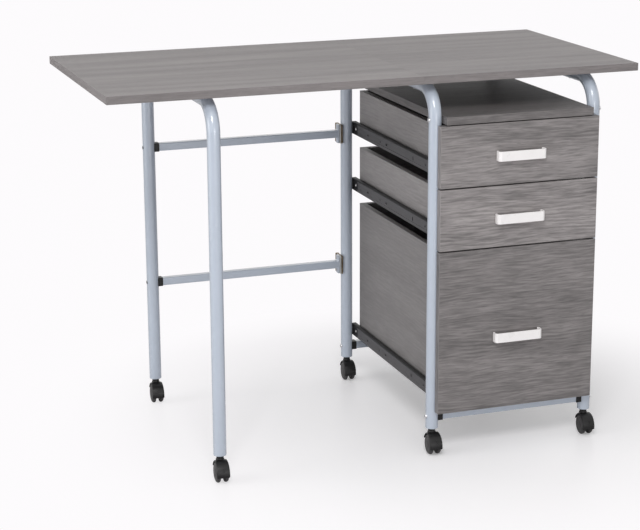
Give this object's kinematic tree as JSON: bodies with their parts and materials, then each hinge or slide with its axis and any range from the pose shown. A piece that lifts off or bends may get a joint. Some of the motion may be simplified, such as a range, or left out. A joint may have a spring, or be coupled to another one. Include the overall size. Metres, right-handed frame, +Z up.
{
  "type": "folding desk",
  "caption": "Desk on casters with a drawer pedestal in tube frames and a legged wing with its own top leaf that swings round the rear post on hinges.",
  "frame": {"origin": "on the floor, below the middle of the desk's outer box with the wing out and the drawers shut", "axes": "+X along the desktop towards the pedestal, +Y from the drawer fronts to the back, +Z up"},
  "size_m": [1.054, 0.5504, 0.75],
  "materials": {
    "grey_oak": "grey oak grain laminate, satin",
    "pale_blue_paint": "pale blue-grey powder coat, satin",
    "black_plastic": "black moulded plastic",
    "black_steel": "black electrocoated steel",
    "zinc_steel": "yellow zinc plated steel",
    "white_satin": "satin white"
  },
  "bodies": {
    "pedestal": {"left_post_frame": "pale_blue_paint", "right_post_frame": "pale_blue_paint", "front_bottom_rail": "pale_blue_paint", "rear_bottom_rail": "pale_blue_paint", "shelf_board": "grey_oak", "fixed_top": "grey_oak", "upper_drawer_left_rail": "black_steel", "upper_drawer_right_rail": "black_steel", "middle_drawer_left_rail": "black_steel", "middle_drawer_right_rail": "black_steel", "file_drawer_left_rail": "black_steel", "file_drawer_right_rail": "black_steel", "front_rail_left_saddle": "black_plastic", "front_rail_right_saddle": "black_plastic", "upper_hinge_post_leaf": "zinc_steel", "lower_hinge_post_leaf": "zinc_steel"},
    "wing": {"leaf_top": "grey_oak", "wing_frame": "pale_blue_paint", "wing_upper_bar": "pale_blue_paint", "wing_lower_bar": "pale_blue_paint", "wing_upper_bar_saddle": "black_plastic", "wing_lower_bar_saddle": "black_plastic", "upper_hinge_bar_leaf": "zinc_steel", "lower_hinge_bar_leaf": "zinc_steel"},
    "upper_drawer": {"upper_drawer_front": "grey_oak", "upper_drawer_pull": "white_satin", "upper_drawer_left_side": "grey_oak", "upper_drawer_right_side": "grey_oak", "upper_drawer_back": "grey_oak", "upper_drawer_bottom": "grey_oak", "upper_drawer_left_runner": "black_steel", "upper_drawer_right_runner": "black_steel"},
    "middle_drawer": {"middle_drawer_front": "grey_oak", "middle_drawer_pull": "white_satin", "middle_drawer_left_side": "grey_oak", "middle_drawer_right_side": "grey_oak", "middle_drawer_back": "grey_oak", "middle_drawer_bottom": "grey_oak", "middle_drawer_left_runner": "black_steel", "middle_drawer_right_runner": "black_steel"},
    "file_drawer": {"file_drawer_front": "grey_oak", "file_drawer_pull": "white_satin", "file_drawer_left_side": "grey_oak", "file_drawer_right_side": "grey_oak", "file_drawer_back": "grey_oak", "file_drawer_bottom": "grey_oak", "file_drawer_left_runner": "black_steel", "file_drawer_right_runner": "black_steel"},
    "wing_front_caster_swivel": {"wing_front_caster_fork": "black_plastic"},
    "wing_front_caster_roll": {"wing_front_caster_wheels": "black_plastic"},
    "wing_rear_caster_swivel": {"wing_rear_caster_fork": "black_plastic"},
    "wing_rear_caster_roll": {"wing_rear_caster_wheels": "black_plastic"},
    "left_front_caster_swivel": {"left_front_caster_fork": "black_plastic"},
    "left_front_caster_roll": {"left_front_caster_wheels": "black_plastic"},
    "left_rear_caster_swivel": {"left_rear_caster_fork": "black_plastic"},
    "left_rear_caster_roll": {"left_rear_caster_wheels": "black_plastic"},
    "right_front_caster_swivel": {"right_front_caster_fork": "black_plastic"},
    "right_front_caster_roll": {"right_front_caster_wheels": "black_plastic"},
    "right_rear_caster_swivel": {"right_rear_caster_fork": "black_plastic"},
    "right_rear_caster_roll": {"right_rear_caster_wheels": "black_plastic"}
  },
  "joints": [
    {"name": "wing_swing", "type": "hinge", "parent": "pedestal", "child": "wing", "pos_m": [0.0886, 0.27115, 0.4085], "axis": [0, 0, -1], "range_deg": [0, 180]},
    {"name": "upper_drawer_slide", "type": "slide", "parent": "pedestal", "child": "upper_drawer", "axis": [0, -1, 0], "range_m": [0, 0.35]},
    {"name": "middle_drawer_slide", "type": "slide", "parent": "pedestal", "child": "middle_drawer", "axis": [0, -1, 0], "range_m": [0, 0.35]},
    {"name": "file_drawer_slide", "type": "slide", "parent": "pedestal", "child": "file_drawer", "axis": [0, -1, 0], "range_m": [0, 0.35]},
    {"name": "wing_front_swivel", "type": "hinge", "parent": "wing", "child": "wing_front_caster_swivel", "pos_m": [-0.33, -0.23035, 0.051], "axis": [0, 0, 1], "continuous": true},
    {"name": "wing_front_roll", "type": "hinge", "parent": "wing_front_caster_swivel", "child": "wing_front_caster_roll", "pos_m": [-0.33078, -0.24032, 0.02], "axis": [0.9969, -0.0785, 0], "continuous": true},
    {"name": "wing_rear_swivel", "type": "hinge", "parent": "wing", "child": "wing_rear_caster_swivel", "pos_m": [-0.33, 0.25465, 0.051], "axis": [0, 0, 1], "continuous": true},
    {"name": "wing_rear_roll", "type": "hinge", "parent": "wing_rear_caster_swivel", "child": "wing_rear_caster_roll", "pos_m": [-0.33078, 0.24468, 0.02], "axis": [0.9969, -0.0785, 0], "continuous": true},
    {"name": "left_front_swivel", "type": "hinge", "parent": "pedestal", "child": "left_front_caster_swivel", "pos_m": [0.104, -0.23035, 0.051], "axis": [0, 0, 1], "continuous": true},
    {"name": "left_front_roll", "type": "hinge", "parent": "left_front_caster_swivel", "child": "left_front_caster_roll", "pos_m": [0.10322, -0.24032, 0.02], "axis": [0.9969, -0.0785, 0], "continuous": true},
    {"name": "left_rear_swivel", "type": "hinge", "parent": "pedestal", "child": "left_rear_caster_swivel", "pos_m": [0.104, 0.25465, 0.051], "axis": [0, 0, 1], "continuous": true},
    {"name": "left_rear_roll", "type": "hinge", "parent": "left_rear_caster_swivel", "child": "left_rear_caster_roll", "pos_m": [0.10322, 0.24468, 0.02], "axis": [0.9969, -0.0785, 0], "continuous": true},
    {"name": "right_front_swivel", "type": "hinge", "parent": "pedestal", "child": "right_front_caster_swivel", "pos_m": [0.436, -0.23035, 0.051], "axis": [0, 0, 1], "continuous": true},
    {"name": "right_front_roll", "type": "hinge", "parent": "right_front_caster_swivel", "child": "right_front_caster_roll", "pos_m": [0.43522, -0.24032, 0.02], "axis": [0.9969, -0.0785, 0], "continuous": true},
    {"name": "right_rear_swivel", "type": "hinge", "parent": "pedestal", "child": "right_rear_caster_swivel", "pos_m": [0.436, 0.25465, 0.051], "axis": [0, 0, 1], "continuous": true},
    {"name": "right_rear_roll", "type": "hinge", "parent": "right_rear_caster_swivel", "child": "right_rear_caster_roll", "pos_m": [0.43522, 0.24468, 0.02], "axis": [0.9969, -0.0785, 0], "continuous": true}
  ]
}
